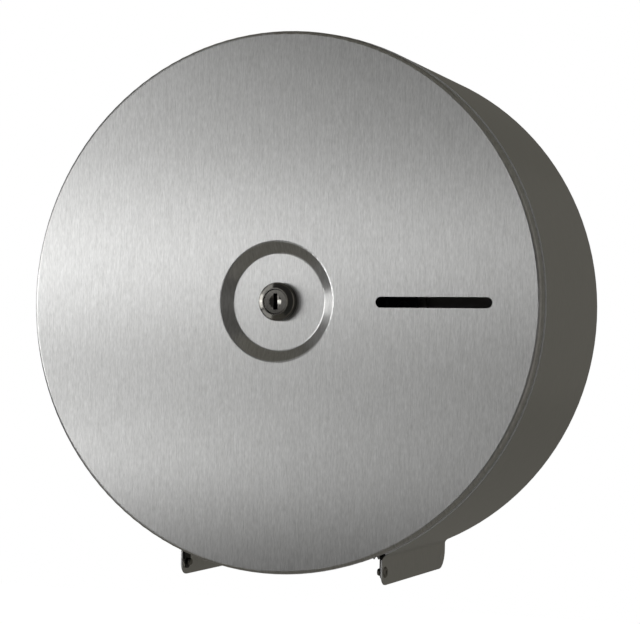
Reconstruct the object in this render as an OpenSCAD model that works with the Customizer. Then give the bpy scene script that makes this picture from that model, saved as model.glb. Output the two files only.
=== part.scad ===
// Wall-mounted jumbo toilet roll dispenser: a round sheet-steel drum with a hinged, lockable front cover.
// Origin: on the spindle axis, in the wall plane. +X right, +Z up, and the front of the drum faces -Y.

/* [Drum] */
// Radius of the front cover, and so of the drum
cover_r = 150; // [135:1:170]
// Depth of the drum from the wall to the front face
depth = 130; // [115:1:150]
// How far the side band stands proud of the cover's rim
band_step = 0.7; // [0:0.1:1.2]
// Sheet thickness of the side band and its ears
band_t = 0.8; // [0.6:0.1:1.6]
// Open joint between the cover's rim and the side band
seam_gap = 0.5; // [0.3:0.1:1]

/* [Ears and paper outlet] */
// Distance between the outer faces of the two ears
ear_span = 120; // [100:0.2:150]
// Radius of the concave bend from the band into each ear
ear_bend_r = 3; // [1.5:0.5:6]
// How far the ears' front edges stand behind the front edge of the band
ear_setback = 3.8; // [2:0.1:6]
// Distance from the ears' front edges back to the hinge axis
hinge_in = 5.3; // [4.8:0.1:8]
// Drop of the hinge axis below the centre of the bend
hinge_drop = 7.1; // [6:0.1:12]
// Distance from the hinge axis down to the ears' lower edges
ear_low = 7.1; // [6:0.1:10]
// Radius of the ears' front lower corner
ear_front_r = 7; // [3:0.5:8]
// Radius of the ears' rear lower corner
ear_rear_r = 11; // [4:0.5:14]
// Length of the relief cut where the bend meets the band's front edge
relief_len = 8.2; // [5:0.1:12]

/* [Cover] */
// Sheet thickness of the cover
cover_t = 1; // [0.8:0.1:1.6]
// Depth of the cover's turned rim, from the front face
rim_depth = 8; // [6:0.5:10]
// Outside radius of the cover's front edge
edge_r = 2; // [1.8:0.1:4]
// Radius of the pressed dish at the front face
dish_r = 33.4; // [29:0.1:38]
// Radius of the flat floor of the dish
dish_floor_r = 27.1; // [20:0.1:28]
// Depth of the dish
dish_depth = 4.1; // [2.5:0.1:6]
// Radius of the dish's upper, convex edge
dish_lip_r = 2; // [1.8:0.1:4]
// Radius of the dish's lower, concave edge
dish_root_r = 1.6; // [0.3:0.1:3]
// Length of the sight slot
slot_len = 65.5; // [40:0.5:90]
// Height of the sight slot
slot_h = 6; // [4.8:0.1:9]
// Distance from the spindle axis to the middle of the sight slot
slot_x = 90.5; // [85:0.5:95]

/* [Back plate] */
// Sheet thickness of the back plate
plate_t = 1.2; // [0.8:0.1:2]
// Depth of the flange that is welded inside the band
plate_flange = 12; // [6:1:20]
// Radius of the pressed boss that carries the spindle
boss_r = 48; // [46:1:60]
// Rise of that boss, which keeps the nuts clear of the wall
boss_rise = 5; // [4.6:0.1:8]
// Hole-to-hole distance of the wall fixings, both ways
fixing_span = 140; // [120:1:180]
// Diameter of the wall fixing holes
fixing_d = 6.5; // [4:0.1:8]

/* [Spindle] */
// Outer diameter of the spindle tube
tube_d = 44; // [43:0.5:50]
// Wall of the spindle tube
tube_wall = 1.5; // [1:0.1:1.8]
// Outer diameter of the welded spindle flange
flange_d = 84; // [82:1:90]
// Thickness of the spindle flange
flange_t = 2; // [1.5:0.1:3]
// Pitch circle of the four spindle screws
flange_pcd = 71; // [70:0.5:74]
// Thickness of the nylon thrust washer under the hub
thrust_t = 1; // [0.8:0.1:2]

/* [Roll hub] */
// Outer diameter of the hub that the paper roll's core hangs on
hub_d = 51; // [50:0.5:58]
// Outer diameter of the hub's rear disc
disc_d = 90; // [86:1:110]
// Thickness of the rear disc
disc_t = 2.5; // [1.5:0.1:4]
// Diameter of the rear disc's round windows
window_d = 9; // [5:0.5:11]
// Number of windows in the rear disc
windows = 6; // [3:1:8]

/* [Lock] */
// Diameter of the lock head's base flange
head_d = 21.4; // [20.4:0.1:24]
// Diameter of the lock head's front ring, round the plug
ring_d = 15.2; // [15:0.1:18]
// Height of the lock head above the dish floor
head_h = 6; // [5.5:0.1:9]
// Height of the straight side of the lock head's base flange
head_flange_t = 3; // [1:0.1:3.2]
// Diameter of the threaded lock barrel
barrel_d = 18.9; // [18:0.1:19.4]
// Distance across the barrel's two flats
barrel_flats = 16; // [15:0.1:17]
// Length of the barrel behind the front of the dish floor
barrel_len = 15.7; // [13:0.1:22]
// Diameter of the plug's face
plug_d = 13.6; // [13:0.1:13.8]
// Height of the keyway
keyway_h = 9; // [7:0.1:10.5]
// Width of the keyway
keyway_w = 2.3; // [1.6:0.1:3]
// Reach of the lock cam from the lock's axis
cam_reach = 16.5; // [15:0.1:17]
// Width of the lock cam
cam_w = 10; // [9:0.1:11]
// Thickness of the lock cam
cam_t = 2; // [1.5:0.1:3]

/* [Keeper] */
// Thickness of the keeper plate that closes the spindle
keeper_t = 2; // [1.5:0.1:3]
// Depth of the keeper's skirt inside the spindle tube
skirt_len = 8; // [6.5:0.5:12]
// Wall of the keeper's skirt
skirt_wall = 2; // [1.2:0.1:2.4]
// Play between the keeper and the turned cam
cam_play = 0.8; // [0.5:0.1:1.5]

/* [Hinge] */
// Thickness of the two hinge arms
arm_t = 0.8; // [0.8:0.1:2]
// Radius of the arms' rounded end
arm_end_r = 3.7; // [3.6:0.1:7]
// Height of the arms' welding flange on the cover
arm_h = 24; // [16:1:40]
// Width of that welding flange
arm_flange_w = 12; // [6:1:20]
// Shank diameter of the hinge rivets
pin_d = 3.2; // [3:0.1:4.8]
// Head diameter of the hinge rivets
pin_head_d = 6.4; // [6:0.1:9]
// Thickness of the nylon washers between ear and arm
washer_t = 0.3; // [0.2:0.1:1]

/* [Tear bar] */
// Thickness of the tear bar
bar_t = 1.2; // [0.8:0.1:1.6]
// Distance from the wall to the tear bar's rivets
bar_rivet_h = 7.9; // [7:0.1:12]
// Distance from those rivets back to the front of the bar's web
bar_tab = 3.6; // [3:0.1:6]
// Pitch of the teeth
tooth_pitch = 3; // [2:0.1:5]
// Depth of the teeth
tooth_h = 2; // [1:0.1:3]
// Shank diameter of the tear bar's rivets
bar_rivet_d = 2.4; // [2:0.1:4]

/* [Hidden] */
// Clearance between pieces of one body that are welded, pressed or screwed together
seat = 0.04;
// Radial clearance of every turning fit
run = 0.06;
// Clearance at the side of moving pieces
side_gap = 0.1;
// Free space round pieces that pass one another
pass = 1.5;
// Overshoot of cuts
over = 1;
// Overlap of a bend with the flat sheet that it runs into
lap = 0.0002;
// Chamfer of turned and moulded edges
chamfer = 0.3;
$fn = 120;

// Radii of the drum, worked out from the cover
band_r = cover_r + band_step;
band_in_r = band_r - band_t;
plate_r = band_in_r - seat;
cover_in_r = cover_r - cover_t;

// Heights are distances from the wall plane
rim_back = depth - rim_depth;
band_front = rim_back - seam_gap;
floor_front = depth - dish_depth;
floor_back = floor_front - cover_t;
barrel_back = floor_front - barrel_len;
cam_front = barrel_back - side_gap;
keeper_back = cam_front + cam_play;
boss_front = plate_t + boss_rise;
flange_front = boss_front + flange_t;
thrust_front = flange_front + thrust_t;

// The bend between band and ear: its centre lies outside the drum
ear_out = ear_span / 2;
ear_in = ear_out - band_t;
bend_x = ear_out + ear_bend_r;
bend_z = -sqrt(pow(band_r + ear_bend_r, 2) - pow(bend_x, 2));
hinge_z = bend_z - hinge_drop;
ear_front = band_front - ear_setback;
hinge_h = ear_front - hinge_in;
ear_bottom = hinge_z - ear_low;
relief_top = bend_z + ear_bend_r + band_t;

// Hinge stack, from the ear's inner face inward
arm_out = ear_in - washer_t - side_gap;
arm_in = arm_out - arm_t;
pin_r = pin_d / 2;
pin_head_r = pin_head_d / 2;
pin_head_h = 0.9;
mandrel_r = 1.1;
mandrel_depth = 2;
bulb_r = pin_r + 0.45;
bulb_len = 2;
bulb_tip_r = 1.7;
pin_crown_r = pin_head_r - 0.9;
hinge_washer_r = arm_end_r - 0.4;

// Where the arm passes inside the cover's rim
arm_low = -sqrt(pow(cover_in_r, 2) - pow(arm_out, 2)) + pass;
arm_top = arm_low + arm_h;

// Tear bar
bar_web_front = bar_rivet_h - bar_tab;
bar_z = hinge_z - 0.4;
bar_rivet_r = bar_rivet_d / 2;
bar_head_r = bar_rivet_r + 0.6;
bar_head_h = 0.5;
bar_tail_r = bar_rivet_r + 0.5;
bar_tail_h = 1;
bar_grip = band_t + bar_t + seat;
bar_top = bend_z - 1.4;
bar_low = ear_bottom + ear_rear_r / 4;
bar_tab_r = 3;

// Spindle, hub and keeper
tube_r = tube_d / 2;
tube_in_r = tube_r - tube_wall;
hub_bore_r = tube_r + run;
hub_play = 0.5;
hub_front = keeper_back - hub_play;
hub_back = thrust_front + side_gap;
head_screw_r = 3.8;
head_screw_h = 2.4;
screw_crown_r = 2.7;
screw_crown_h = 1;
screw_r = 2;
screw_len = boss_front + flange_t - 1;
hub_collar_r = flange_pcd / 2 - head_screw_r - pass;
disc_back = flange_front + head_screw_h + 1;
hub_fillet = 1.5;
hub_lead = hub_d / 2 - hub_bore_r - 1;
window_pcr = (hub_d + disc_d) / 4 + hub_fillet / 2;
keeper_r = (hub_bore_r + hub_d / 2) / 2 + 0.6;
opening_r = barrel_d / 2 + pass;
cam_slot_w = cam_w + 2 * pass;
cam_slot_top = cam_reach + pass;
skirt_r = tube_in_r - seat;
keeper_screw_r = 1.5;
keeper_screw_h = keeper_back - skirt_len / 2;
keeper_head_r = 2.6;
keeper_head_h = 1.1;
keeper_head_top = sqrt(pow(tube_r, 2) - pow(keeper_head_r + seat, 2)) - seat;
driver_slot_w = 0.6;
driver_slot_d = 0.5;
cross_len = 4.4;
cross_w = 0.8;
cross_depth = 1.2;
nut_flats = 7;
nut_t = 3.2;

// Lock
barrel_r = barrel_d / 2;
head_r = head_d / 2;
ring_r = ring_d / 2;
ring_edge = 0.15;
head_round = 1.3;
head_slope = 17;
barrel_back_r = plug_d / 2 - 0.8;
plug_r = plug_d / 2;
plug_set = 0.4;
plug_face = floor_front + head_h - plug_set;
plug_head = 3.6;
plug_dish_r = 3.6;
plug_dish_depth = 0.8;
ward_h = 3;
ward_w = 0.4;
lock_washer_t = 0.8;
lock_washer_r = 12.6;
lock_nut_t = 4;
lock_nut_flats = 22;
cam_boss_r = cam_w / 2 + 1.5;
tenon = 7;
cam_screw_r = 2;
cam_screw_len = 9;
cam_screw_head_r = 3.6;
cam_screw_head_h = 2.2;
cam_washer_r = 4.5;
cam_washer_t = 0.5;
cam_back = cam_front - cam_t;

// Turns a shape drawn flat on X and Y, with its height as the distance from the wall, into the drum's frame
module on_wall() rotate([90, 0, 0]) children();

// Turns a shape drawn flat, with X as the distance from the wall and Y up, into a plate that
// faces along X and starts at x
module on_side(x, thickness)
    translate([x + thickness, 0, 0]) rotate([0, 0, -90]) rotate([90, 0, 0])
        linear_extrude(thickness) children();

// Turns a shape lathed about Z into one whose axis is the hinge side's X, pointing right from x
module along_x(x, h, z) translate([x, -h, z]) rotate([0, 90, 0]) children();

// Both the right-hand shape and its mirror image
module both_sides() {
    children();
    mirror([1, 0, 0]) children();
}

module ring(outer, inner, height)
    difference() {
        cylinder(r = outer, h = height);
        translate([0, 0, -over]) cylinder(r = inner, h = height + 2 * over);
    }

// Sheet-metal drum: the wedge below the two bends is the paper outlet
module outlet_wedge()
    polygon([[0, 0], [2 * bend_x, 2 * bend_z], [-2 * bend_x, 2 * bend_z]]);

module ear_section() {
    intersection() {
        translate([bend_x, bend_z]) difference() {
            circle(r = ear_bend_r + band_t);
            circle(r = ear_bend_r);
        }
        polygon([[bend_x, bend_z], [0, bend_z], [0, 0]]);
    }
    translate([ear_in, ear_bottom]) square([band_t, bend_z - ear_bottom]);
}

module drum_section() {
    difference() {
        circle(r = band_r);
        circle(r = band_in_r);
        outlet_wedge();
    }
    both_sides() ear_section();
}

// What a rounded corner leaves of its square
module corner_waste(r, x_sign)
    difference() {
        translate([x_sign > 0 ? 0 : -r - over, -r - over]) square(r + over);
        circle(r = r);
    }

module ear_cuts() {
    translate([ear_front - ear_front_r, ear_bottom + ear_front_r]) corner_waste(ear_front_r, 1);
    translate([ear_rear_r, ear_bottom + ear_rear_r]) corner_waste(ear_rear_r, -1);
    polygon([[band_front + over, ear_bottom - over], [band_front + over, relief_top],
        [band_front - relief_len, relief_top], [ear_front, bend_z], [ear_front, ear_bottom - over]]);
    translate([hinge_h, hinge_z]) circle(r = pin_r + seat);
    translate([bar_rivet_h, bar_z]) circle(r = bar_rivet_r + seat);
}

module drum_shell()
    color("dimgray") difference() {
        on_wall() linear_extrude(band_front) drum_section();
        both_sides() on_side(ear_in - ear_bend_r, band_t + 2 * ear_bend_r) ear_cuts();
    }

// Back plate: a shallow pan with a raised boss, welded inside the band
module back_plate_holes() {
    for (x = [-1, 1], y = [-1, 1])
        translate([x * fixing_span / 2, y * fixing_span / 2, -over])
            cylinder(d = fixing_d, h = plate_t + 2 * over);
    for (a = [45:90:315])
        rotate(a) translate([flange_pcd / 2, 0, 0]) cylinder(r = screw_r + seat, h = boss_front + over);
}

module back_plate()
    color("darkgray") on_wall() difference() {
        union() {
            cylinder(r = plate_r, h = plate_t);
            difference() {
                ring(plate_r, plate_r - plate_t, plate_flange);
                translate([0, 0, plate_t]) linear_extrude(plate_flange) outlet_wedge();
            }
            cylinder(r = boss_r, h = boss_front);
        }
        translate([0, 0, -over]) cylinder(r = boss_r - plate_t, h = boss_rise + over);
        back_plate_holes();
    }

// Serrated bar across the back of the paper outlet, riveted to both ears by its end tabs
module tear_bar_web()
    let (half = ear_in - seat, teeth = floor((half - bar_t) / tooth_pitch), edge = bar_low + tooth_h)
        polygon(concat([[-half, bar_top], [-half, edge], [-teeth * tooth_pitch, edge]],
            [for (i = [-teeth:teeth - 1])
                each [[(i + 0.5) * tooth_pitch, bar_low], [(i + 1) * tooth_pitch, edge]]],
            [[half, edge], [half, bar_top]]));

module tear_bar_tab()
    difference() {
        union() {
            translate([bar_web_front, bar_z - bar_tab_r]) square([bar_tab, 2 * bar_tab_r]);
            translate([bar_rivet_h, bar_z]) circle(r = bar_tab_r);
        }
        translate([bar_rivet_h, bar_z]) circle(r = bar_rivet_r + seat);
    }

module tear_bar()
    color("silver") {
        on_wall() translate([0, 0, bar_web_front - bar_t]) linear_extrude(bar_t) tear_bar_web();
        both_sides() on_side(ear_in - seat - bar_t, bar_t) tear_bar_tab();
    }

module tear_bar_rivet() {
    ball = (pow(bar_head_r, 2) + pow(bar_head_h, 2)) / (2 * bar_head_h);
    translate([0, 0, -bar_tail_h]) cylinder(r = bar_tail_r, h = bar_tail_h);
    cylinder(r = bar_rivet_r, h = bar_grip);
    intersection() {
        translate([0, 0, bar_grip]) cylinder(r = bar_head_r, h = bar_head_h);
        translate([0, 0, bar_grip + bar_head_h - ball]) sphere(r = ball);
    }
}

module tear_bar_rivets()
    color("lightgray") both_sides() along_x(ear_in - bar_t - seat, bar_rivet_h, bar_z) tear_bar_rivet();

// Blind hinge rivet: domed head with the broken stem's hole outside, set bulb inside
module hinge_rivet()
    let (grip = ear_out - arm_in + side_gap)
        rotate_extrude() polygon([[0, -bulb_len], [bulb_tip_r, -bulb_len], [bulb_r, -bulb_len * 2 / 3],
            [bulb_r, -bulb_len / 3], [bulb_r - chamfer, 0], [pin_r, 0], [pin_r, grip], [pin_head_r, grip],
            [pin_head_r - chamfer, grip + pin_head_h / 2], [pin_crown_r, grip + pin_head_h],
            [mandrel_r + chamfer, grip + pin_head_h], [mandrel_r, grip + pin_head_h - chamfer],
            [mandrel_r, grip + pin_head_h - mandrel_depth], [0, grip + pin_head_h - mandrel_depth]]);

module hinge_rivets()
    color("silver") both_sides() along_x(arm_in - side_gap, hinge_h, hinge_z) hinge_rivet();

module hinge_washers()
    color("white") both_sides() along_x(ear_in - washer_t, hinge_h, hinge_z)
        ring(hinge_washer_r, pin_r + seat, washer_t);

// Spindle: a tube welded to a screwed flange
module spindle_flange()
    color("silver") on_wall() translate([0, 0, boss_front]) difference() {
        ring(flange_d / 2, tube_r + seat, flange_t);
        for (a = [45:90:315])
            rotate(a) translate([flange_pcd / 2, 0, -over])
                cylinder(r = screw_r + seat, h = flange_t + 2 * over);
    }

module keeper_screw_places()
    for (a = [30:120:270])
        rotate(a) translate([0, 0, keeper_screw_h]) rotate([0, 90, 0]) children();

// A countersunk shape with room to spare all round: its head ends at keeper_head_top
module keeper_screw_shape(spare) {
    cylinder(r = keeper_screw_r + spare, h = keeper_head_top);
    translate([0, 0, keeper_head_top - keeper_head_h])
        cylinder(r1 = keeper_screw_r + spare, r2 = keeper_head_r + spare, h = keeper_head_h);
}

module keeper_screw_seats()
    keeper_screw_places() {
        keeper_screw_shape(seat);
        translate([0, 0, keeper_head_top]) cylinder(r = keeper_head_r + seat, h = over);
    }

module spindle_tube()
    color("silver") on_wall() difference() {
        translate([0, 0, boss_front]) ring(tube_r, tube_in_r, keeper_back - boss_front);
        keeper_screw_seats();
    }

module cross_recess()
    for (a = [0, 90])
        rotate(a) translate([-cross_len / 2, -cross_w / 2, 0]) cube([cross_len, cross_w, cross_depth + over]);

module spindle_screw() {
    translate([0, 0, flange_front - screw_len]) cylinder(r = screw_r, h = screw_len);
    translate([0, 0, flange_front]) difference() {
        union() {
            cylinder(r = head_screw_r, h = head_screw_h - screw_crown_h);
            translate([0, 0, head_screw_h - screw_crown_h])
                cylinder(r1 = head_screw_r, r2 = screw_crown_r, h = screw_crown_h);
        }
        translate([0, 0, head_screw_h - cross_depth]) cross_recess();
    }
}

module spindle_screws()
    color("gainsboro") on_wall() for (a = [45:90:315])
        rotate(a) translate([flange_pcd / 2, 0, 0]) spindle_screw();

module hex_nut(flats, bore_r, height)
    difference() {
        cylinder(d = flats / cos(30), h = height, $fn = 6);
        translate([0, 0, -over]) cylinder(r = bore_r, h = height + 2 * over);
    }

module spindle_nuts()
    color("gainsboro") on_wall() for (a = [45:90:315])
        rotate(a) translate([flange_pcd / 2, 0, boss_rise - nut_t]) hex_nut(nut_flats, screw_r + seat, nut_t);

module thrust_washer()
    color("ivory") on_wall() translate([0, 0, flange_front])
        ring(hub_collar_r - side_gap, tube_r + seat, thrust_t);

// Roll hub: a moulded sleeve that turns on the spindle tube, with a disc behind the roll
module hub_section() {
    half = hub_d / 2;
    rim = disc_d / 2;
    disc_front = disc_back + disc_t;
    polygon([[hub_bore_r, hub_back], [hub_collar_r, hub_back], [hub_collar_r, disc_back],
        [rim - disc_t / 2, disc_back], [rim, disc_back + disc_t / 2], [rim - disc_t / 2, disc_front],
        [half + hub_fillet, disc_front], [half, disc_front + hub_fillet], [half, hub_front - 2 * hub_lead],
        [half - hub_lead, hub_front], [hub_bore_r, hub_front]]);
}

module roll_hub()
    color("#222222") on_wall() difference() {
        rotate_extrude() hub_section();
        for (i = [0:windows - 1])
            rotate(i * 360 / windows) translate([window_pcr, 0, disc_back - over])
                cylinder(d = window_d, h = disc_t + 2 * over);
    }

// Keeper: an end cap whose keyhole lets the lock barrel and the upright cam in
module keeper_opening() {
    circle(r = opening_r);
    translate([-cam_slot_w / 2, 0]) square([cam_slot_w, cam_slot_top - cam_slot_w / 4]);
    intersection() {
        circle(r = cam_slot_top);
        translate([-cam_slot_w / 2, 0]) square([cam_slot_w, cam_slot_top]);
    }
}

module lock_keeper()
    color("lightsteelblue") on_wall() difference() {
        union() {
            translate([0, 0, keeper_back]) cylinder(r = keeper_r, h = keeper_t);
            translate([0, 0, keeper_back - skirt_len]) ring(skirt_r, skirt_r - skirt_wall, skirt_len);
        }
        translate([0, 0, keeper_back - over]) linear_extrude(keeper_t + 2 * over) keeper_opening();
        keeper_screw_seats();
    }

module keeper_screws()
    color("gainsboro") on_wall() keeper_screw_places() difference() {
        keeper_screw_shape(0);
        cylinder(r = keeper_head_r, h = skirt_r - skirt_wall);
        translate([-keeper_head_r, -driver_slot_w / 2, keeper_head_top - driver_slot_d])
            cube([2 * keeper_head_r, driver_slot_w, driver_slot_d + over]);
    }

// Front cover: one sheet, lathed, with the dish's wall sloping between two tangent bends
dish_a = atan2(dish_depth, dish_r - dish_floor_r);
lip_x = dish_r + dish_lip_r * tan(dish_a / 2);
root_x = dish_floor_r - dish_root_r * tan(dish_a / 2);

// Where the two straight lines that leave a bend meet: the bend's centre is x, h, and it turns
// by 2 * half round the direction mid
function sharp(x, h, r, mid, half) = [x + r * cos(mid) / cos(half), h + r * sin(mid) / cos(half)];

// What lies between a bend and its sharp corner, reaching a little past both lines
module corner_of(x, h, r, mid, half) {
    far = 1.5 * r;
    difference() {
        polygon([[x, h], [x + far * cos(mid - half), h + far * sin(mid - half)],
            sharp(x, h, far, mid, half), [x + far * cos(mid + half), h + far * sin(mid + half)]]);
        translate([x, h]) circle(r = r + lap);
    }
}

// All that lies behind one surface of the sheet, measured from the front face. The surface lies
// drop behind the front one, and low is where the solid ends.
module behind_sheet(drop, low) {
    lip = dish_lip_r - drop;
    root = dish_root_r + drop;
    edge = edge_r - drop;
    root_h = dish_root_r - dish_depth;
    difference() {
        union() {
            polygon([[0, low], [cover_r - drop, low], [cover_r - drop, -drop],
                sharp(lip_x, -dish_lip_r, lip, 90 + dish_a / 2, dish_a / 2),
                sharp(root_x, root_h, root, dish_a / 2 - 90, dish_a / 2), [0, -dish_depth - drop]]);
            corner_of(root_x, root_h, root, dish_a / 2 - 90, dish_a / 2);
        }
        corner_of(lip_x, -dish_lip_r, lip, 90 + dish_a / 2, dish_a / 2);
        corner_of(cover_r - edge_r, -edge_r, edge, 45, 45);
    }
}

module cover_section()
    difference() {
        behind_sheet(0, -rim_depth);
        behind_sheet(cover_t, -rim_depth - over);
    }

module double_d(r, flats)
    intersection() {
        circle(r = r);
        square([flats, 2 * r + over], center = true);
    }

module sight_slot()
    for (s = [-1, 1]) {
        translate([slot_x + s * (slot_len - slot_h) / 2, 0]) circle(d = slot_h);
        translate([slot_x - (slot_len - slot_h) / 2, -slot_h / 2]) square([slot_len - slot_h, slot_h]);
    }

module front_cover()
    color("silver") on_wall() difference() {
        translate([0, 0, depth]) rotate_extrude($fn = 240) cover_section();
        translate([0, 0, floor_back - over])
            linear_extrude(dish_depth) double_d(barrel_r + seat, barrel_flats + 2 * seat);
        translate([0, 0, depth - cover_t - over]) linear_extrude(cover_t + 2 * over) sight_slot();
    }

// Hinge arm: welded behind the cover, it steps over the rim's edge and down to the rivet
module arm_outline()
    difference() {
        union() {
            translate([hinge_h, hinge_z]) circle(r = arm_end_r);
            polygon([[depth - cover_t, arm_top], [depth - cover_t, arm_low],
                [hinge_h + arm_end_r, arm_low], [hinge_h + arm_end_r, hinge_z],
                [hinge_h - arm_end_r, hinge_z], [hinge_h - arm_end_r, arm_low],
                [hinge_h, arm_top]]);
        }
        translate([hinge_h, hinge_z]) circle(r = pin_r + run);
    }

module hinge_arm() {
    on_side(arm_in, arm_t) arm_outline();
    translate([arm_out - arm_flange_w, -depth + cover_t, arm_low])
        cube([arm_flange_w, arm_t, arm_top - arm_low]);
}

module hinge_arm_left() color("lightgray") mirror([1, 0, 0]) hinge_arm();

module hinge_arm_right() color("lightgray") hinge_arm();

// Half of the lock head: a rounded flange whose front slopes up to the ring round the plug
module head_outline() {
    rounding = [for (a = [90:-(90 - head_slope) / 5:head_slope])
        [head_r - head_round + head_round * sin(a), head_flange_t + head_round * cos(a)]];
    top = rounding[len(rounding) - 1];
    polygon(concat([[0, 0], [head_r, 0]], rounding,
        [[ring_r, top[1] + (top[0] - ring_r) * tan(head_slope)], [ring_r, head_h - ring_edge],
        [ring_r - ring_edge, head_h], [0, head_h]]));
}

// Lock: body with a round head, a turning plug set a little below the head's ring, and a cam on the
// plug's square end
module lock_body()
    color("slategray") on_wall() difference() {
        union() {
            translate([0, 0, floor_front]) rotate_extrude() head_outline();
            translate([0, 0, barrel_back]) linear_extrude(barrel_len) double_d(barrel_r, barrel_flats);
        }
        translate([0, 0, plug_face - plug_head - side_gap])
            cylinder(r = plug_r + run, h = plug_head + plug_set + side_gap + over);
        translate([0, 0, plug_face])
            cylinder(r1 = plug_r + run, r2 = plug_r + run + plug_set, h = plug_set + over);
        translate([0, 0, barrel_back - over]) cylinder(r = barrel_back_r + run, h = barrel_len + head_h);
    }

module lock_washer()
    color("gainsboro") on_wall() translate([0, 0, floor_back - lock_washer_t])
        ring(lock_washer_r, barrel_r + seat, lock_washer_t);

module lock_nut()
    color("gainsboro") on_wall() translate([0, 0, floor_back - lock_washer_t - lock_nut_t])
        hex_nut(lock_nut_flats, barrel_r + seat, lock_nut_t);

module keyway() {
    square([keyway_w, keyway_h], center = true);
    translate([0, -keyway_h / 2]) square([keyway_w / 2 + ward_w, ward_h]);
}

module lock_plug() {
    ball = (pow(plug_dish_r, 2) + pow(plug_dish_depth, 2)) / (2 * plug_dish_depth);
    color("darkslategray") on_wall() difference() {
        union() {
            translate([0, 0, plug_face - plug_head]) rotate_extrude() polygon([[0, 0], [plug_r, 0],
                [plug_r, plug_head - chamfer], [plug_r - chamfer, plug_head], [0, plug_head]]);
            translate([0, 0, cam_front])
                cylinder(r = barrel_back_r, h = plug_face - plug_head - cam_front);
            translate([-tenon / 2, -tenon / 2, cam_back]) cube([tenon, tenon, cam_t]);
        }
        translate([0, 0, plug_face + ball - plug_dish_depth]) sphere(r = ball);
        translate([0, 0, cam_front + cam_screw_len])
            linear_extrude(plug_face - cam_front) keyway();
        translate([0, 0, cam_back - over]) cylinder(r = cam_screw_r + seat, h = cam_screw_len + over);
    }
}

module lock_cam()
    color("gainsboro") on_wall() translate([0, 0, cam_back]) difference() {
        union() {
            cylinder(r = cam_boss_r, h = cam_t);
            intersection() {
                cylinder(r = cam_reach, h = cam_t);
                translate([-cam_w / 2, 0, 0]) cube([cam_w, cam_reach, cam_t]);
            }
        }
        translate([-tenon / 2 - seat, -tenon / 2 - seat, -over])
            cube([tenon + 2 * seat, tenon + 2 * seat, cam_t + 2 * over]);
    }

module cam_washer()
    color("gainsboro") on_wall() translate([0, 0, cam_back - cam_washer_t])
        ring(cam_washer_r, cam_screw_r + seat, cam_washer_t);

module cam_screw()
    color("gainsboro") on_wall() translate([0, 0, cam_back - cam_washer_t]) difference() {
        union() {
            cylinder(r = cam_screw_r, h = cam_screw_len - cam_t);
            translate([0, 0, -cam_screw_head_h]) cylinder(r = cam_screw_head_r, h = cam_screw_head_h);
        }
        translate([0, 0, -cam_screw_head_h - over]) cross_recess();
    }

drum_shell();
back_plate();
tear_bar();
tear_bar_rivets();
hinge_rivets();
hinge_washers();
spindle_flange();
spindle_tube();
spindle_screws();
spindle_nuts();
thrust_washer();
roll_hub();
lock_keeper();
keeper_screws();
front_cover();
hinge_arm_left();
hinge_arm_right();
lock_body();
lock_washer();
lock_nut();
lock_plug();
lock_cam();
cam_washer();
cam_screw();
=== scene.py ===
"""Dresses the wall-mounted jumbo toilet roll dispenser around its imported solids.

Laid out as an add-on: one operator for each piece or group of like pieces, one for the stage, and a
panel that lists them. Everything is in metres, in the frame of the solids: the origin is on the
spindle axis in the wall plane, the front faces -Y and +Z is up.
"""

import math

import bpy
from bpy.props import FloatProperty, FloatVectorProperty, PointerProperty
from mathutils import Matrix, Vector


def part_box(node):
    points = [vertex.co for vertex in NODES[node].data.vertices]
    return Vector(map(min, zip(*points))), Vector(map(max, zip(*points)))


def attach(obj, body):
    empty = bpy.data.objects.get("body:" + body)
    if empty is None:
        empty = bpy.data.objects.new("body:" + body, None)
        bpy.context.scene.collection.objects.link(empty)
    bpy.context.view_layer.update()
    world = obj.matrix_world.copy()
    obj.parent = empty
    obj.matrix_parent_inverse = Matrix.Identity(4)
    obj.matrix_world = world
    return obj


bl_info = {
    "name": "Jumbo toilet roll dispenser",
    "version": (1, 0, 0),
    "blender": (4, 5, 0),
    "location": "3D View > Sidebar > Dispenser",
    "description": "Finishes, extra pieces and stage for the jumbo toilet roll dispenser",
    "category": "Object",
}

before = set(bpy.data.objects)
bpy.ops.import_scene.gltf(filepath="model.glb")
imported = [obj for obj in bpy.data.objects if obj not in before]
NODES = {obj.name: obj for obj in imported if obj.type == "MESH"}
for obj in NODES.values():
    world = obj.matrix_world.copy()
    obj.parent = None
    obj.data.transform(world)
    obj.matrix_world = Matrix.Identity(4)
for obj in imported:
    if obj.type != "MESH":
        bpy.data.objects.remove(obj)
MM = 0.001


def linear(hex_colour):
    """An sRGB hex colour, such as #C8C6C2, as linear red, green and blue."""
    parts = [int(hex_colour[i : i + 2], 16) / 255 for i in (1, 3, 5)]
    return tuple(c / 12.92 if c <= 0.04045 else ((c + 0.055) / 1.055) ** 2.4 for c in parts)


# ---------------------------------------------------------------- sizes and colours


def length(name, description, millimetres, low, high):
    """A length a user may change, given in millimetres and kept in metres."""
    return FloatProperty(
        name=name,
        description=description,
        default=millimetres * MM,
        min=low * MM,
        max=high * MM,
        unit="LENGTH",
        subtype="DISTANCE",
        precision=4,
    )


def colour(name, description, hex_colour):
    """A colour a user may change."""
    return FloatVectorProperty(
        name=name,
        description=description,
        default=linear(hex_colour),
        min=0,
        max=1,
        size=3,
        subtype="COLOR",
    )


def share(name, description, value):
    """A number from 0 to 1 that a user may change."""
    return FloatProperty(
        name=name, description=description, default=value, min=0, max=1, subtype="FACTOR"
    )


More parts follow.
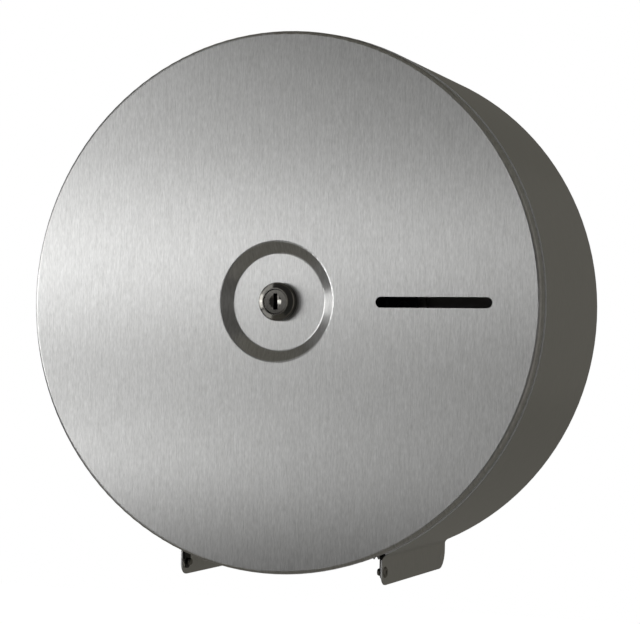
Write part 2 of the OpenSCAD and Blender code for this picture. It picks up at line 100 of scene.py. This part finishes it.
class DispenserFinish(bpy.types.PropertyGroup):
    steel: colour("Stainless steel", "Colour of the brushed and satin stainless sheet", "#C8C8C7")
    zinc: colour("Zinc plating", "Colour of the plated screws, nuts and cam", "#C4C6C8")
    # Near black: on the hinge arms and the mandrels this tone is partly painted shade, for the
    # shade they sit in between the ears and in the rivets' holes.
    black_zinc: colour("Black zinc", "Colour of the plated arms and the mandrels", "#4B4B4A")
    nickel: colour("Black nickel", "Colour of the plated lock, and of the hinge rivets", "#86847F")
    abs: colour("Black ABS", "Colour of the moulded roll hub", "#161617")
    nylon: colour("Natural nylon", "Colour of the nylon washers", "#E6E1D3")
    aluminium: colour("Aluminium", "Colour of the tear bar's blind rivets", "#DADBDC")
    heat_tint: colour("Heat tint", "Colour that the spot welds leave on the hinge arms", "#8F8473")
    # A belt of 150 to 180 grit leaves lines about 0.1 mm wide. A view of the whole dispenser shows
    # nothing under about 0.5 mm, so the lines are drawn coarser than the real ones, and shorter.
    grain_width: length("Grain width", "Width of the brush lines that show", 0.7, 0.05, 3)
    grain_length: length("Grain length", "Length of the brush lines that show", 3.6, 1, 100)
    grain_depth: share("Grain strength", "How much a brush line lightens or darkens the steel", 0.2)
    steel_roughness: share("Steel roughness", "Roughness of the brushed sheet", 0.3)
    steel_stretch: share("Steel anisotropy", "How far the brushing draws out reflections", 0.96)


class DispenserStudio(bpy.types.PropertyGroup):
    floor_drop: length("Floor", "Depth of the floor below the spindle axis", 1200, 460, 2000)
    strength: FloatProperty(
        name="Softbox strength",
        description="Factor on the radiance of all the softboxes",
        default=1.0,
        min=0,
        max=10,
    )
    front_flag: colour("Front flag", "Colour of the flag round the front and left", "#424241")
    right_flag: colour("Right flag", "Colour of the flag at the right", "#8C8983")
    rear_flag: colour("Rear flag", "Colour of the flag behind, and of the lid", "#6A6861")
    base_flag: colour("Base flag", "Colour of the flag below the object", "#6B6963")


# ---------------------------------------------------------------- materials

NOISE_LOW, NOISE_HIGH = 0.3, 0.7  # nearly all of a noise texture lies between these
VECTOR_A, VECTOR_B, VECTOR_RESULT = 4, 5, 1  # the Mix node's sockets for vectors

# Brushed sheet
GRAIN_LAYERS = (  # width and length as multiples of the finish's own, and weight
    (1.0, 1.0, 0.55),
    (1.1, 3.5, 0.33),
    (5.0, 3.0, 0.12),
)
RIDGE_DEPTH, RIDGE_STRENGTH = 0.02 * MM, 0.05
RIM_TURN = (0.3, 0.5)  # how far a rim still faces the front where its own grain takes over
CUT_TURN = (0.85, 0.97)  # how squarely a cut edge faces the front or the wall

GLOSS_DRIFT = 0.15  # share by which a plain metal's roughness drifts
PIT_DEPTH = 0.05 * MM
PLASTIC_IOR = 1.53  # ABS and nylon alike


def put(tree, kind, inputs=None, **settings):
    """Adds a node. An input is a value, or the output socket to link to it."""
    made = tree.nodes.new(kind)
    for name, value in settings.items():
        setattr(made, name, value)
    for socket, value in (inputs or {}).items():
        if isinstance(value, bpy.types.NodeSocket):
            tree.links.new(value, made.inputs[socket])
        else:
            made.inputs[socket].default_value = value
    return made


def new_material(name):
    """An empty material, with its tree and its output node."""
    made = bpy.data.materials.new(name)
    made.use_nodes = True
    made.node_tree.nodes.clear()
    return made, made.node_tree, put(made.node_tree, "ShaderNodeOutputMaterial")


def paint(material, *pieces):
    """Gives the pieces, by name or as objects, one material."""
    for piece in pieces:
        piece = NODES[piece] if isinstance(piece, str) else piece
        piece.data.materials.clear()
        piece.data.materials.append(material)


def steel_grain(tree, place, finish, across, along):
    """Brush lines, as a value round 0.5. Place is in metres, and across and along have a 1 for each
    axis that runs across or along the lines."""
    total = None
    for width, reach, weight in GRAIN_LAYERS:
        stretch = [
            a / (finish.grain_width * width) + b / (finish.grain_length * reach)
            for a, b in zip(across, along)
        ]
        lines = put(tree, "ShaderNodeVectorMath", {0: place, 1: stretch}, operation="MULTIPLY")
        noise = put(
            tree,
            "ShaderNodeTexNoise",
            {"Vector": lines.outputs[0], "Scale": 1.0, "Detail": 2.0, "Roughness": 0.6},
        )
        layer = put(
            tree, "ShaderNodeMath", {0: noise.outputs[0], 1: weight}, operation="MULTIPLY"
        ).outputs[0]
        if total is not None:
            layer = put(tree, "ShaderNodeMath", {0: total, 1: layer}, operation="ADD").outputs[0]
        total = layer
    return total


def front_facing(tree, low, high):
    """Zero where the surface faces sideways, and one where it faces the front or the wall. Low and
    high are the front parts of its normal at which the value leaves zero and reaches one."""
    turned = put(
        tree,
        "ShaderNodeVectorTransform",
        {"Vector": put(tree, "ShaderNodeNewGeometry").outputs["True Normal"]},
        vector_type="NORMAL",
        convert_from="WORLD",
        convert_to="OBJECT",
    )
    facing = put(tree, "ShaderNodeSeparateXYZ", {"Vector": turned.outputs[0]}).outputs["Y"]
    depth = put(tree, "ShaderNodeMath", {0: facing}, operation="ABSOLUTE").outputs[0]
    return put(
        tree, "ShaderNodeMapRange", {"Value": depth, "From Min": low, "From Max": high}
    ).outputs[0]


def brushed_sheet(name, finish, across, along, tangent, side_tangent, strength=1.0, cut_metal=1.0):
    """Brushed stainless steel: a metal whose fine parallel scratches draw every reflection out
    sideways into a soft band, with the scratches themselves showing as light and dark hairs.

    The lines run along, and vary across. Tangent is the line's cross direction on faces that look
    to the front or the wall, and side_tangent on those that look sideways. Strength scales how much
    the hairs show. Cut_metal below 1 makes the sheared edges duller and paler than the sheet."""
    made, tree, out = new_material(name)
    place = put(tree, "ShaderNodeTexCoord").outputs["Object"]
    grain = steel_grain(tree, place, finish, across, along)
    shade = put(
        tree,
        "ShaderNodeMapRange",
        {
            "Value": grain,
            "From Min": NOISE_LOW,
            "From Max": NOISE_HIGH,
            "To Min": 1 - finish.grain_depth * strength,
            "To Max": 1 + finish.grain_depth * strength,
        },
        clamp=False,
    ).outputs[0]
    tint = put(
        tree,
        "ShaderNodeVectorMath",
        {0: tuple(finish.steel), "Scale": shade},
        operation="SCALE",
    )
    ridge = put(
        tree,
        "ShaderNodeBump",
        {"Strength": RIDGE_STRENGTH, "Distance": RIDGE_DEPTH, "Height": grain},
    )
    blend = put(
        tree,
        "ShaderNodeMix",
        {"Factor": front_facing(tree, *RIM_TURN), VECTOR_A: side_tangent, VECTOR_B: tangent},
        data_type="VECTOR",
    )
    turn = put(
        tree,
        "ShaderNodeVectorTransform",
        {"Vector": blend.outputs[VECTOR_RESULT]},
        vector_type="VECTOR",
        convert_from="OBJECT",
        convert_to="WORLD",
    )
    metal = 1.0
    if cut_metal < 1:
        metal = put(
            tree,
            "ShaderNodeMapRange",
            {"Value": front_facing(tree, *CUT_TURN), "To Min": 1.0, "To Max": cut_metal},
        ).outputs[0]
    shader = put(
        tree,
        "ShaderNodeBsdfPrincipled",
        {
            "Base Color": tint.outputs[0],
            "Metallic": metal,
            "Roughness": finish.steel_roughness,
            "Anisotropic": finish.steel_stretch,
            "Tangent": turn.outputs[0],
            "Normal": ridge.outputs[0],
        },
    )
    tree.links.new(shader.outputs[0], out.inputs["Surface"])
    return made


def plain_metal(name, tone, roughness, mottle_mm, spread):
    """A metal with no grain, whose tone and gloss drift a little over mottle_mm, as plating,
    drawing and handling leave them. Spread is how far the tone drifts."""
    made, tree, out = new_material(name)
    place = put(tree, "ShaderNodeTexCoord").outputs["Object"]
    mottle = put(
        tree,
        "ShaderNodeTexNoise",
        {"Vector": place, "Scale": 1 / (mottle_mm * MM), "Detail": 4.0, "Roughness": 0.6},
    )
    shade = put(
        tree,
        "ShaderNodeMapRange",
        {
            "Value": mottle.outputs[0],
            "From Min": NOISE_LOW,
            "From Max": NOISE_HIGH,
            "To Min": 1 - spread,
            "To Max": 1 + spread,
        },
    )
    tint = put(
        tree,
        "ShaderNodeVectorMath",
        {0: tuple(tone), "Scale": shade.outputs[0]},
        operation="SCALE",
    )
    gloss = put(
        tree,
        "ShaderNodeMapRange",
        {
            "Value": mottle.outputs[0],
            "From Min": NOISE_LOW,
            "From Max": NOISE_HIGH,
            "To Min": roughness * (1 - GLOSS_DRIFT),
            "To Max": roughness * (1 + GLOSS_DRIFT),
        },
    )
    shader = put(
        tree,
        "ShaderNodeBsdfPrincipled",
        {"Base Color": tint.outputs[0], "Metallic": 1.0, "Roughness": gloss.outputs[0]},
    )
    tree.links.new(shader.outputs[0], out.inputs["Surface"])
    return made


def moulded(name, tone, roughness, pit_mm, pit_strength):
    """A moulded plastic with the fine pitted skin that its tool leaves. Real pits are about 0.1 mm
    apart, and are drawn coarser, pit_mm apart, so that they show."""
    made, tree, out = new_material(name)
    place = put(tree, "ShaderNodeTexCoord").outputs["Object"]
    pits = put(
        tree,
        "ShaderNodeTexNoise",
        {"Vector": place, "Scale": 1 / (pit_mm * MM), "Detail": 2.0},
    )
    skin = put(
        tree,
        "ShaderNodeBump",
        {"Strength": pit_strength, "Distance": PIT_DEPTH, "Height": pits.outputs[0]},
    )
    shader = put(
        tree,
        "ShaderNodeBsdfPrincipled",
        {
            "Base Color": (*tone, 1),
            "Roughness": roughness,
            "IOR": PLASTIC_IOR,
            "Normal": skin.outputs[0],
        },
    )
    tree.links.new(shader.outputs[0], out.inputs["Surface"])
    return made


# ---------------------------------------------------------------- meshes

# Sizes that the extra pieces share with the solids they sit on
HINGE_PIN = (-112.4 * MM, -147.295 * MM)  # depth and height of the hinge's axis
MANDREL_SUNK = 2.0 * MM  # a stub's foot, below the crown of its rivet's head
MANDREL_CRUMPLE = 0.12 * MM  # how ragged its broken end is
ARM_SHEET = 0.8 * MM  # the hinge arms' sheet
SPOT_INSET = 6 * MM  # the welds' distance from the arm's inner edge
SPOT_HEIGHTS = (-131 * MM, -124 * MM, -117 * MM)
BARREL_RADIUS = 9.45 * MM
BARREL_FLATS = 16 * MM  # across the lock barrel's two flats
THREAD_PITCH = 1 * MM
THREAD_TURNS = 5.5
THREAD_HEIGHT = 0.2 * MM
THREAD_FOOT = 0.9  # share of the pitch that the ridge's foot takes
THREAD_STEPS = 96  # to a turn
NEARLY_ZERO = 0.001

# Profiles to turn: radius and height
MANDREL = [
    (r * MM, h * MM)
    for r, h in ((0, 0), (1.05, 0), (1.05, 1.35), (0.85, 1.5), (0.4, 1.62), (0, 1.55))
]
SPOT_WELD = [
    (r * MM, h * MM)
    for r, h in ((2.5, -0.05), (2.4, 0.05), (2.05, 0.13), (1.7, 0.06), (1.0, 0.03), (0, 0.02))
]
CRUMPLED_RINGS = 3  # the last rings of a profile that crumple roughens


def mesh_object(name, points, faces):
    """A mesh object, in the scene."""
    mesh = bpy.data.meshes.new(name)
    mesh.from_pydata(points, [], faces)
    mesh.update()
    made = bpy.data.objects.new(name, mesh)
    bpy.context.scene.collection.objects.link(made)
    return made


def turned(profile, origin, axis, steps=32, crumple=0.0):
    """Points and faces of a profile turned about an axis. Crumple roughens its last rings."""
    u = axis.orthogonal().normalized()
    v = axis.cross(u)
    points, rings = [], []
    for ring, (radius, height) in enumerate(profile):
        if radius == 0:
            rings.append([len(points)] * steps)
            points.append(origin + axis * height)
            continue
        rings.append(range(len(points), len(points) + steps))
        rough = crumple if ring >= len(profile) - CRUMPLED_RINGS else 0
        for i in range(steps):
            a = 2 * math.pi * i / steps
            lift = rough * (math.sin(3 * a + ring) + 0.5 * math.sin(7 * a))
            away = math.cos(a) * u + math.sin(a) * v
            points.append(origin + radius * away + axis * (height + lift))
    faces = []
    for lower, upper in zip(rings, rings[1:]):
        for i in range(steps):
            k = (i + 1) % steps
            loop = [lower[i], lower[k], upper[k], upper[i]]
            faces.append([p for j, p in enumerate(loop) if p not in loop[:j]])
    return points, faces


# ---------------------------------------------------------------- operators


class DISPENSER_OT_front_cover(bpy.types.Operator):
    """Brushed finish, grain upright, on the front cover"""

    bl_idname = "dispenser.front_cover"
    bl_label = "Front cover"
    bl_options = {"REGISTER", "UNDO"}

    def execute(self, context):
        finish = context.scene.dispenser_finish
        # Stainless sheet, belt-brushed upright: lights spread into soft, broad patches from side to
        # side, with fine upright hairs, and the turned rim keeps a narrow bright line.
        across, along = (1, 0, 0), (0, 1, 1)
        side_tangent = (0, 1, 0)
        face = brushed_sheet("Brushed_stainless_cover", finish, across, along, across, side_tangent)
        paint(face, "front_cover")
        return {"FINISHED"}


class DISPENSER_OT_drum(bpy.types.Operator):
    """Brushed side band and ears, mill-finish plate behind, and satin tear bar"""

    bl_idname = "dispenser.drum"
    bl_label = "Drum and ears"
    bl_options = {"REGISTER", "UNDO"}

    def execute(self, context):
        finish = context.scene.dispenser_finish
        # Stainless strip, brushed along its length before bending: an even, calm grey round the
        # side, hairs too faint to count, and sheared edges a little paler than the sheet.
        across, along = (0, 1, 0), (1, 0, 1)
        band = brushed_sheet(
            "Brushed_stainless_band",
            finish,
            across,
            along,
            tangent=across,
            side_tangent=across,
            strength=0.4,
            cut_metal=0.6,
        )
        paint(band, "drum_shell")
        # Stainless sheet as it left the rolling mill: dull and faintly cloudy, with no grain.
        plate = plain_metal(
            "Mill_finish_stainless_plate", finish.steel, roughness=0.75, mottle_mm=12, spread=0.05
        )
        paint(plate, "back_plate")
        # Stainless strip, deburred after the teeth were cut: a soft satin gloss.
        bar = plain_metal(
            "Satin_stainless_tear_bar", finish.steel, roughness=0.32, mottle_mm=12, spread=0.05
        )
        paint(bar, "tear_bar")
        return {"FINISHED"}


class DISPENSER_OT_hinge(bpy.types.Operator):
    """Arms, blind rivets and washers of the cover's hinge, and the tear bar's rivets"""

    bl_idname = "dispenser.hinge"
    bl_label = "Hinge"
    bl_options = {"REGISTER", "UNDO"}

    def execute(self, context):
        finish = context.scene.dispenser_finish
        # Pressed steel, black zinc plated: near black, with a low, patchy gloss. The near-black
        # tone is partly painted shade, standing for the shade on the arms' edges between the ears.
        arms = plain_metal(
            "Black_zinc_arms_and_painted_shade", finish.black_zinc, roughness=0.42, mottle_mm=6, spread=0.08
        )
        paint(arms, "hinge_arm_left", "hinge_arm_right")
        # Drawn steel, turned and pulled: small dark domes with a bright glint.
        pins = plain_metal(
            "Drawn_steel_rivets", finish.nickel, roughness=0.3, mottle_mm=2, spread=0.05
        )
        paint(pins, "hinge_rivets")
        # Pressed aluminium, dulled by setting: pale and matt, with no glint.
        bar_pins = plain_metal(
            "Aluminium_rivets", finish.aluminium, roughness=0.8, mottle_mm=2, spread=0.05
        )
        paint(bar_pins, "tear_bar_rivets")
        # Undyed nylon, moulded: warm off-white with a soft sheen.
        nylon = moulded(
            "Natural_nylon_hinge", finish.nylon, roughness=0.45, pit_mm=0.4, pit_strength=0.1
        )
        paint(nylon, "hinge_washers")
        self.mandrels(finish)
        self.spot_welds(finish)
        return {"FINISHED"}

    @staticmethod
    def mandrels(finish):
        """The stubs of the pulled mandrels, broken off below the crowns of the two rivet heads."""
        # Steel torn off in the setting tool: a small rough dark grey spot in the rivet's hole. Its
        # near-black tone is partly painted shade of the hole.
        broken = plain_metal(
            "Broken_mandrels_painted_shade", finish.black_zinc, roughness=0.5, mottle_mm=0.4, spread=0.15
        )
        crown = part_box("hinge_rivets")[1].x
        for name, side in (("Mandrel_left", -1), ("Mandrel_right", 1)):
            root = Vector((side * (crown - MANDREL_SUNK), *HINGE_PIN))
            outward = Vector((side, 0, 0))
            stub = mesh_object(name, *turned(MANDREL, root, outward, crumple=MANDREL_CRUMPLE))
            paint(broken, stub)
            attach(stub, "housing")

    @staticmethod
    def spot_welds(finish):
        """Three shallow craters on the flange of each hinge arm, behind the cover."""
        # Plated steel scorched by the welder: straw-brown rings, smoother than the plating.
        tinted = plain_metal(
            "Heat_tinted_spot_welds", finish.heat_tint, roughness=0.38, mottle_mm=1.5, spread=0.15
        )
        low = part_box("hinge_arm_right")[0]
        points, faces = [], []
        for side in (-1, 1):
            for drop in SPOT_HEIGHTS:
                middle = Vector((side * (low.x + SPOT_INSET), low.y + ARM_SHEET, drop))
                more, loops = turned(SPOT_WELD, middle, Vector((0, 1, 0)))
                faces += [[i + len(points) for i in loop] for loop in loops]
                points += more
        marks = mesh_object("Spot_welds_hinge_arms", points, faces)
        paint(tinted, marks)
        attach(marks, "cover")


class DISPENSER_OT_spindle(bpy.types.Operator):
    """Spindle tube, flange, keeper and their screws and nuts"""

    bl_idname = "dispenser.spindle"
    bl_label = "Spindle"
    bl_options = {"REGISTER", "UNDO"}

    def execute(self, context):
        finish = context.scene.dispenser_finish
        # Steel, bright zinc plated: a cool light grey with a soft gloss and faint clouds.
        turned_parts = plain_metal(
            "Zinc_plated_spindle", finish.zinc, roughness=0.34, mottle_mm=10, spread=0.06
        )
        paint(turned_parts, "spindle_tube", "spindle_flange", "lock_keeper")
        # The same plating on small screws and nuts, where it comes out glossier.
        fasteners = plain_metal(
            "Zinc_plated_screws", finish.zinc, roughness=0.26, mottle_mm=2, spread=0.07
        )
        paint(fasteners, "spindle_screws", "spindle_nuts", "keeper_screws")
        # Undyed nylon, moulded: warm off-white with a soft sheen.
        nylon = moulded(
            "Natural_nylon_thrust", finish.nylon, roughness=0.45, pit_mm=0.4, pit_strength=0.1
        )
        paint(nylon, "thrust_washer")
        return {"FINISHED"}


class DISPENSER_OT_roll_hub(bpy.types.Operator):
    """Moulded black hub that the paper roll hangs on"""

    bl_idname = "dispenser.roll_hub"
    bl_label = "Roll hub"
    bl_options = {"REGISTER", "UNDO"}

    def execute(self, context):
        finish = context.scene.dispenser_finish
        # Black ABS, injection moulded in a spark-eroded tool: deep black under a fine satin skin.
        shell = moulded(
            "Black_ABS_hub", finish.abs, roughness=0.42, pit_mm=0.5, pit_strength=0.15
        )
        paint(shell, "roll_hub")
        return {"FINISHED"}


class DISPENSER_OT_lock(bpy.types.Operator):
    """Plated lock body and plug, with the nut, washers, cam and screw behind the cover"""

    bl_idname = "dispenser.lock"
    bl_label = "Lock"
    bl_options = {"REGISTER", "UNDO"}

    def execute(self, context):
        finish = context.scene.dispenser_finish
        # Die-cast zinc, polished and black nickel plated: a dark mirror with sharp light arcs.
        plated = plain_metal(
            "Black_nickel_lock", finish.nickel, roughness=0.12, mottle_mm=6, spread=0.02
        )
        paint(plated, "lock_body", "lock_plug")
        self.thread(plated)
        # Pressed steel, bright zinc plated: a cool light grey with a soft gloss.
        hidden = plain_metal(
            "Zinc_plated_lock_parts", finish.zinc, roughness=0.28, mottle_mm=3, spread=0.07
        )
        paint(hidden, "lock_nut", "lock_washer", "lock_cam", "cam_washer", "cam_screw")
        return {"FINISHED"}

    @staticmethod
    def thread(plated):
        """The fine thread on the round sides of the barrel, behind the nut."""
        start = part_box("lock_nut")[1].y + THREAD_PITCH
        count = round(THREAD_STEPS * THREAD_TURNS)
        points = []
        for i in range(count + 1):
            a = 2 * math.pi * i / THREAD_STEPS
            flat = BARREL_FLATS / 2 / max(abs(math.cos(a)), NEARLY_ZERO)
            skin = min(flat, BARREL_RADIUS)
            on_round = flat > BARREL_RADIUS and 0 < i < count
            crest = BARREL_RADIUS + THREAD_HEIGHT if on_round else skin - THREAD_HEIGHT
            root = skin - 2 * THREAD_HEIGHT
            middle = start + THREAD_PITCH * i / THREAD_STEPS
            for radius, shift in ((root, -0.5), (crest, 0), (root, 0.5)):
                depth = middle + shift * THREAD_PITCH * THREAD_FOOT
                points.append((radius * math.cos(a), depth, radius * math.sin(a)))
        faces = [(0, 1, 2), (3 * count + 2, 3 * count + 1, 3 * count)]
        for i in range(count):
            for j in range(3):
                k = (j + 1) % 3
                faces.append((3 * i + j, 3 * i + 3 + j, 3 * i + 3 + k, 3 * i + k))
        ridge = mesh_object("Thread_lock_barrel", points, faces)
        paint(plated, ridge)
        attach(ridge, "cover")


# ---------------------------------------------------------------- stage

CAMERA_PLACE = (0.40798, -1.15161, -0.03452)
CAMERA_TURN = (20.504, -1.52, 1.006)  # degrees right of the front, above the horizon, and rolled
CAMERA_LENS = 112.269  # mm
CAMERA_SENSOR = 36  # mm

WORLD_LEVEL = 0.75  # what a matt surface sees of the white surroundings

FLOOR_HALF = 8.0
FLOOR_LIFT = 0.42  # glow that takes the pale floor to white for the camera
FLOOR_COLOUR = "#E7E7E7"

# Flags, in metres
FLAG_RADIUS = 2.6
FLAG_TOP = 2.2
FLAG_FOOT = 0.01  # above the floor
FLAG_HOLE = 0.15  # radius of the hole in the base, under the object
FLAG_LID_MIDDLE = 0.001  # radius at which the lid's faces meet
FLAG_STEP = 6  # degrees to a face

# Softboxes: name, edges left of the front, edges above the horizon (degrees), and radiance.
# The first two overlap and light the cover, front and strip shape its bright streak, and the
# lower strip lights its lower half. The last two, high and low, light the dish's walls.
SOFTBOXES = (
    ("Softbox_main", (36, 72), (-9, 13), 1.9),
    ("Softbox_main_top", (36, 72), (-4, 20), 0.9),
    ("Softbox_front", (12, 36), (2.5, 6.5), 1.3),
    ("Softbox_strip", (32, 64), (1, 3.6), 2.1),
    ("Softbox_lower_strip", (36, 50), (-6, -4), 6.6),
    ("Softbox_side_top", (34, 52), (20, 42), 0.8),
    ("Softbox_side_low", (34, 52), (-42, -12), 0.8),
)
SOFTBOX_DISTANCE = 2.2


def camera_matrix():
    """Where the camera stands and how it is turned and rolled."""
    turn, lift, roll = (math.radians(a) for a in CAMERA_TURN)
    level = math.cos(lift)
    ahead = Vector((-math.sin(turn) * level, math.cos(turn) * level, -math.sin(lift)))
    right = Vector((math.cos(turn), math.sin(turn), 0))
    up = right.cross(ahead)
    c, s = math.cos(roll), math.sin(roll)
    axes = Matrix((c * right + s * up, -s * right + c * up, -ahead)).transposed()
    return Matrix.Translation(CAMERA_PLACE) @ axes.to_4x4()


def direction(left, rise):
    """Unit vector from the object, so many degrees left of its front and above the horizon."""
    a, e = math.radians(left), math.radians(rise)
    return Vector((-math.sin(a) * math.cos(e), -math.cos(a) * math.cos(e), math.sin(e)))


def softbox(name, sides, rises, distance, radiance):
    """A rectangular lamp that looks at the object. Its power follows from its size and radiance."""
    left, rise = sum(sides) / 2, sum(rises) / 2
    lamp = bpy.data.lights.new(name, "AREA")
    lamp.shape = "RECTANGLE"
    lamp.size = 2 * distance * math.tan(math.radians(sides[1] - sides[0]) / 2)
    lamp.size_y = 2 * distance * math.tan(math.radians(rises[1] - rises[0]) / 2)
    lamp.energy = radiance * math.pi * lamp.size * lamp.size_y
    holder = bpy.data.objects.new(name, lamp)
    bpy.context.scene.collection.objects.link(holder)
    away = direction(left, rise)
    holder.location = away * distance
    holder.rotation_mode = "QUATERNION"
    holder.rotation_quaternion = (-away).to_track_quat("-Z", "Y")
    holder.visible_camera = False
    return holder


def glow(name, tone):
    """Painted screen, as a plain glow: one even tone wherever a reflection meets it."""
    made, tree, out = new_material(name)
    shine = put(tree, "ShaderNodeEmission", {"Color": (*tone, 1), "Strength": 1.0})
    tree.links.new(shine.outputs[0], out.inputs["Surface"])
    return made


class DISPENSER_OT_stage(bpy.types.Operator):
    """Camera, softboxes, dark flags, pale floor and white background"""

    bl_idname = "dispenser.stage"
    bl_label = "Stage"
    bl_options = {"REGISTER", "UNDO"}

    def execute(self, context):
        studio = context.scene.dispenser_studio
        self.camera(context)
        self.world(context)
        self.floor(studio)
        self.flags(studio)
        for name, sides, rises, radiance in SOFTBOXES:
            softbox(name, sides, rises, SOFTBOX_DISTANCE, radiance * studio.strength)
        return {"FINISHED"}

    @staticmethod
    def camera(context):
        """The camera, with no depth of field and no shift."""
        lens = bpy.data.cameras.new("Camera")
        lens.lens = CAMERA_LENS
        lens.sensor_width = CAMERA_SENSOR
        lens.dof.use_dof = False
        holder = bpy.data.objects.new("Camera", lens)
        context.scene.collection.objects.link(holder)
        holder.matrix_world = camera_matrix()
        context.scene.camera = holder
        context.scene.view_settings.view_transform = "Standard"

    @staticmethod
    def world(context):
        """White where the camera or a gloss sees it, and a plain grey level for matt surfaces."""
        made = bpy.data.worlds.new("Studio")
        made.use_nodes = True
        tree = made.node_tree
        tree.nodes.clear()
        ray = put(tree, "ShaderNodeLightPath").outputs
        seen = ray["Is Camera Ray"]
        for other in ("Is Glossy Ray", "Is Transmission Ray"):
            seen = put(
                tree, "ShaderNodeMath", {0: seen, 1: ray[other]}, operation="MAXIMUM"
            ).outputs[0]
        level = put(
            tree, "ShaderNodeMapRange", {"Value": seen, "To Min": WORLD_LEVEL, "To Max": 1.0}
        ).outputs[0]
        white = (*linear("#FFFFFF"), 1)
        sky = put(tree, "ShaderNodeBackground", {"Color": white, "Strength": level})
        put(tree, "ShaderNodeOutputWorld", {"Surface": sky.outputs[0]})
        context.scene.world = made

    @staticmethod
    def floor(studio):
        """A matt pale sheet far below the object. It reads as white to the camera and keeps the
        object's shadow."""
        corners = ((-1, -1), (1, -1), (1, 1), (-1, 1))
        points = [(x * FLOOR_HALF, y * FLOOR_HALF, -studio.floor_drop) for x, y in corners]
        ground = mesh_object("Floor", points, [(0, 1, 2, 3)])
        made, tree, out = new_material("Pale_floor")
        ray = put(tree, "ShaderNodeLightPath").outputs
        matt = put(tree, "ShaderNodeBsdfDiffuse", {"Color": (*linear(FLOOR_COLOUR), 1)})
        lift = put(
            tree, "ShaderNodeMath", {0: ray["Is Camera Ray"], 1: FLOOR_LIFT}, operation="MULTIPLY"
        )
        shine = put(tree, "ShaderNodeEmission", {"Strength": lift.outputs[0]})
        both = put(tree, "ShaderNodeAddShader", {0: matt.outputs[0], 1: shine.outputs[0]})
        tree.links.new(both.outputs[0], out.inputs["Surface"])
        paint(made, ground)

    @staticmethod
    def flags(studio):
        """Dark screens that only reflections see: a wall all round the object in three tones, a
        lid, and a base with a hole under the object. They give bare metal a dim room to mirror,
        and neither the camera, the shadows nor matt surfaces notice them."""
        low = -studio.floor_drop + FLAG_FOOT

        def arc(start, stop, corners):
            """Strip of faces from start to stop, in degrees left of the front, between two corners,
            each a radius and a height."""
            steps = math.ceil((stop - start) / FLAG_STEP)
            points = []
            for i in range(steps + 1):
                away = direction(start + (stop - start) * i / steps, 0)
                points += [(away.x * reach, away.y * reach, z) for reach, z in corners]
            return points, [(2 * i, 2 * i + 2, 2 * i + 3, 2 * i + 1) for i in range(steps)]

        wall = ((FLAG_RADIUS, low), (FLAG_RADIUS, FLAG_TOP))
        lid = ((FLAG_LID_MIDDLE, FLAG_TOP), (FLAG_RADIUS, FLAG_TOP))
        base = ((FLAG_HOLE, low), (FLAG_RADIUS, low))
        screens = (  # name, edges left of the front (degrees), section and colour
            ("Flag_front", -50, 140, wall, studio.front_flag),
            ("Flag_right", -110, -50, wall, studio.right_flag),
            ("Flag_rear", 140, 250, wall, studio.rear_flag),
            ("Flag_lid", -180, 180, lid, studio.rear_flag),
            ("Flag_base", -180, 180, base, studio.base_flag),
        )
        for name, start, stop, corners, tone in screens:
            screen = mesh_object(name, *arc(start, stop, corners))
            paint(glow(name, tone), screen)
            screen.visible_camera = False
            screen.visible_diffuse = False
            screen.visible_shadow = False
            screen.visible_transmission = False


PIECES = (
    DISPENSER_OT_front_cover,
    DISPENSER_OT_drum,
    DISPENSER_OT_hinge,
    DISPENSER_OT_spindle,
    DISPENSER_OT_roll_hub,
    DISPENSER_OT_lock,
    DISPENSER_OT_stage,
)


class DISPENSER_PT_panel(bpy.types.Panel):
    """Lists the pieces and their finishes"""

    bl_idname = "DISPENSER_PT_panel"
    bl_label = "Roll dispenser"
    bl_space_type = "VIEW_3D"
    bl_region_type = "UI"
    bl_category = "Dispenser"

    def draw(self, context):
        for group in (context.scene.dispenser_finish, context.scene.dispenser_studio):
            box = self.layout.box()
            for name in group.__annotations__:
                box.prop(group, name)
        for piece in PIECES:
            self.layout.operator(piece.bl_idname)


CLASSES = (DispenserFinish, DispenserStudio, *PIECES, DISPENSER_PT_panel)


def register():
    for made in CLASSES:
        bpy.utils.register_class(made)
    bpy.types.Scene.dispenser_finish = PointerProperty(type=DispenserFinish)
    bpy.types.Scene.dispenser_studio = PointerProperty(type=DispenserStudio)


def unregister():
    del bpy.types.Scene.dispenser_studio
    del bpy.types.Scene.dispenser_finish
    for made in reversed(CLASSES):
        bpy.utils.unregister_class(made)


def main():
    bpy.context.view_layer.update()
    register()
    for piece in PIECES:
        group, name = piece.bl_idname.split(".")
        getattr(getattr(bpy.ops, group), name)()


if __name__ == "__main__":
    main()
